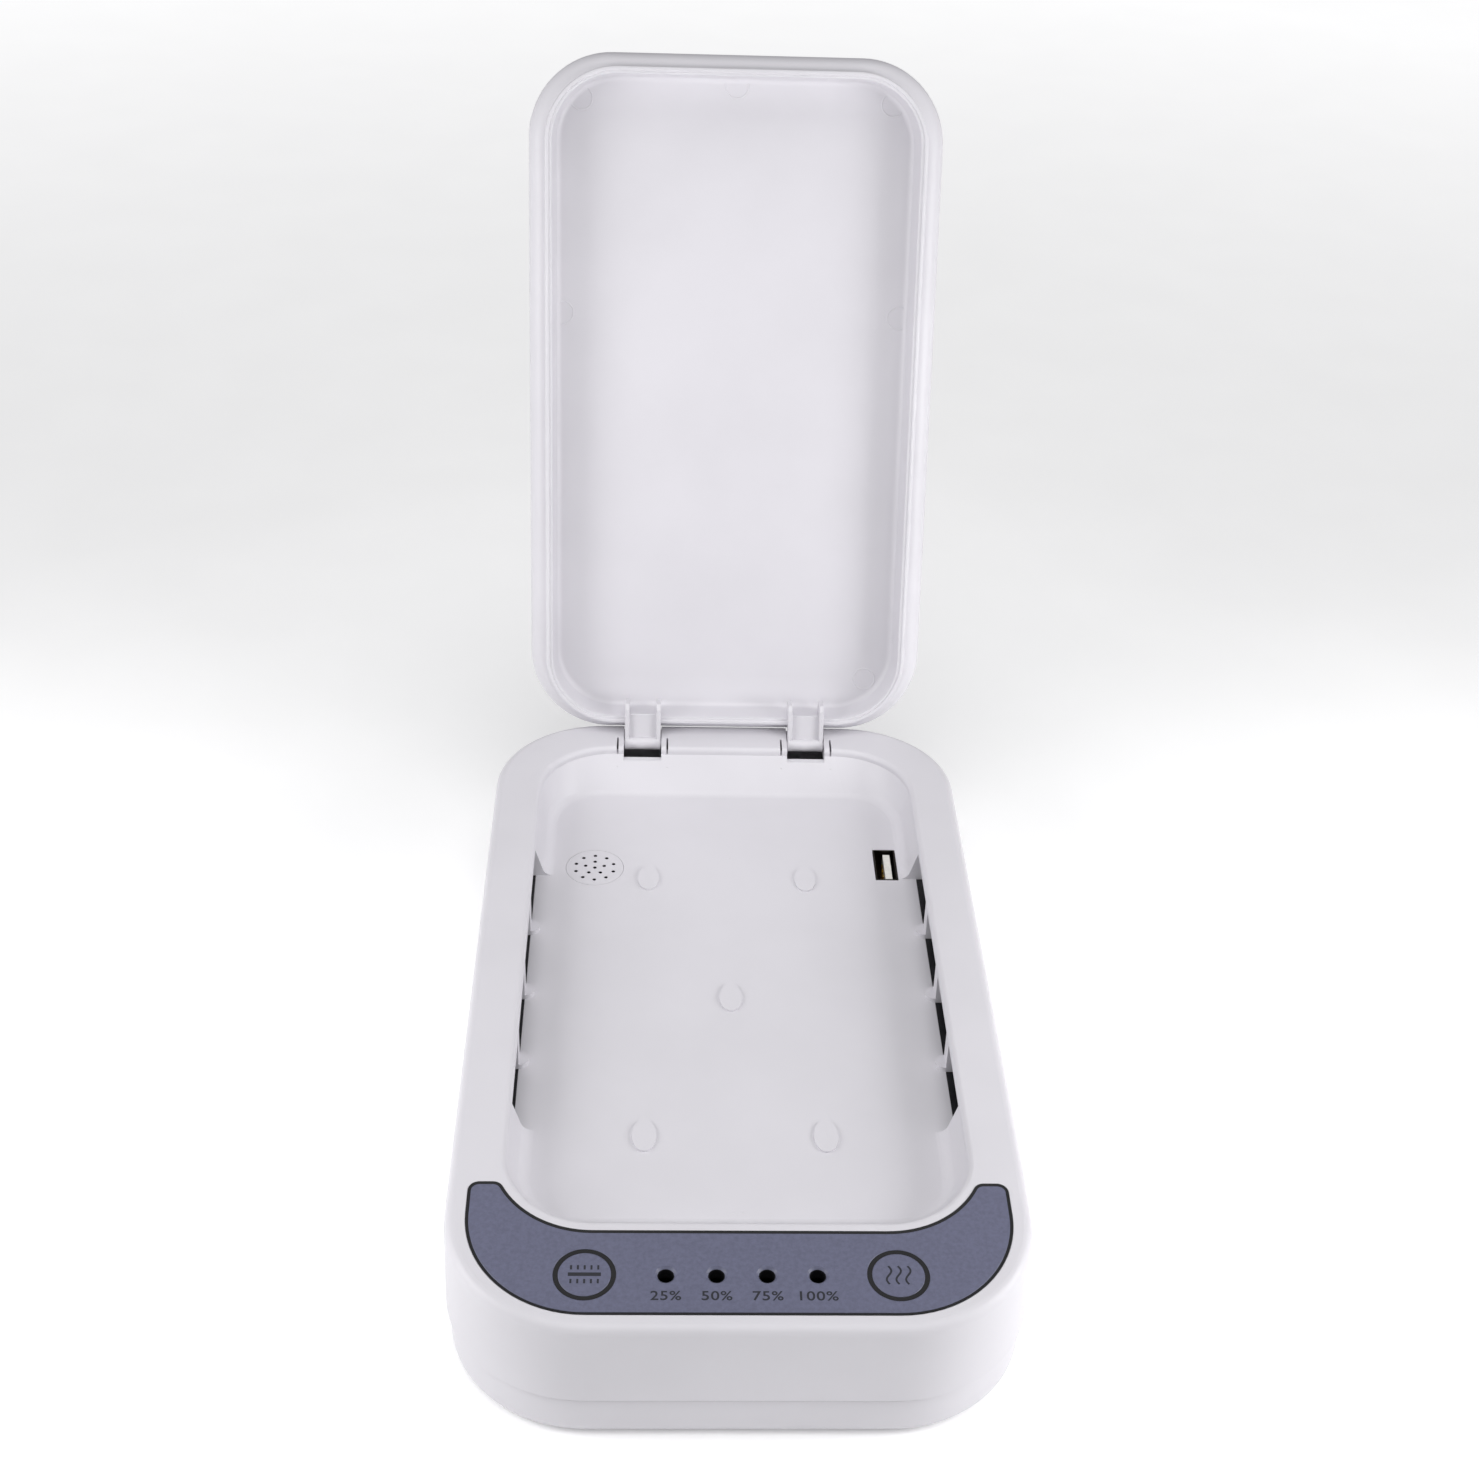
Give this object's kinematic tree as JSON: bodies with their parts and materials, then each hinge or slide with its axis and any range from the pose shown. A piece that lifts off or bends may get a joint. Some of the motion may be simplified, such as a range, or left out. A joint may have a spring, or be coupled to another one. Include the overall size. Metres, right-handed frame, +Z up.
{
  "type": "uv sanitizer box for phones",
  "caption": "Rounded desktop box with a shallow phone chamber between lamp windows, a sloped crescent control panel and a deep lid hinged open at the rear.",
  "frame": {"origin": "on the table, under the middle of the body, 0.8 mm under the base's flat underside", "axes": "+X to the right, +Y to the rear where the lid is hinged, +Z up"},
  "size_m": [0.126, 0.2747, 0.2107],
  "materials": {
    "white_abs": "fine satin moulding",
    "panel_abs": "fine textured blue-grey",
    "button_abs": "fine textured blue-grey",
    "foot_rubber": "matt",
    "black_plastic": "matt black",
    "socket_insulator": "white insulator",
    "led_epoxy": "clear epoxy",
    "circuit_board": "green solder mask",
    "capacitor_can": "sleeved can",
    "winding_tape": "yellow tape",
    "ferrite": "dark ferrite",
    "screw_steel": "zinc plated",
    "nickel_shell": "nickel plated",
    "contact_gold": "gold flash",
    "heater_ceramic": "matt",
    "aroma_felt": "felt",
    "reflector_sheet": "bright sheet",
    "quartz_glass": "clear tube",
    "holder_silicone": "white silicone",
    "ribbon_pvc": "grey ribbon"
  },
  "bodies": {
    "base": {"upper_housing": "white_abs", "lower_shell": "white_abs", "rubber_feet": "foot_rubber", "control_panel": "panel_abs", "tact_switches": "black_plastic", "status_leds": "led_epoxy", "control_board": "circuit_board", "main_board": "circuit_board", "inverter_board": "circuit_board", "controller_chip": "black_plastic", "board_capacitors": "capacitor_can", "inverter_capacitors": "capacitor_can", "transformer_winding": "winding_tape", "transformer_core": "ferrite", "board_screws": "screw_steel", "case_screws": "screw_steel", "usb_shell": "nickel_shell", "usb_tongue": "socket_insulator", "usb_contacts": "contact_gold", "power_inlet_shell": "nickel_shell", "power_inlet_tongue": "black_plastic", "aroma_grille": "white_abs", "aroma_cup": "white_abs", "aroma_heater": "heater_ceramic", "aroma_pad": "aroma_felt", "reflector_left": "reflector_sheet", "reflector_right": "reflector_sheet", "uv_lamp_left": "quartz_glass", "uv_lamp_right": "quartz_glass", "lamp_end_caps": "nickel_shell", "lamp_holders": "holder_silicone", "ribbon_cable": "ribbon_pvc", "ribbon_plugs": "black_plastic"},
    "lid": {"lid": "white_abs"},
    "sterilize_button": {"sterilize_button": "button_abs", "sterilize_plunger": "black_plastic"},
    "aroma_button": {"aroma_button": "button_abs", "aroma_plunger": "black_plastic"}
  },
  "joints": [
    {"name": "lid_hinge", "type": "hinge", "parent": "base", "child": "lid", "pos_m": [0, 0.1017, 0.0339], "axis": [-1, 0, 0], "range_deg": [-106.2, 0]},
    {"name": "sterilize_button_press", "type": "slide", "parent": "base", "child": "sterilize_button", "axis": [0, 0.0698, -0.9976], "range_m": [0, 0.0005], "stiffness_N_per_m": 400},
    {"name": "aroma_button_press", "type": "slide", "parent": "base", "child": "aroma_button", "axis": [0, 0.0698, -0.9976], "range_m": [0, 0.0005], "stiffness_N_per_m": 400}
  ]
}
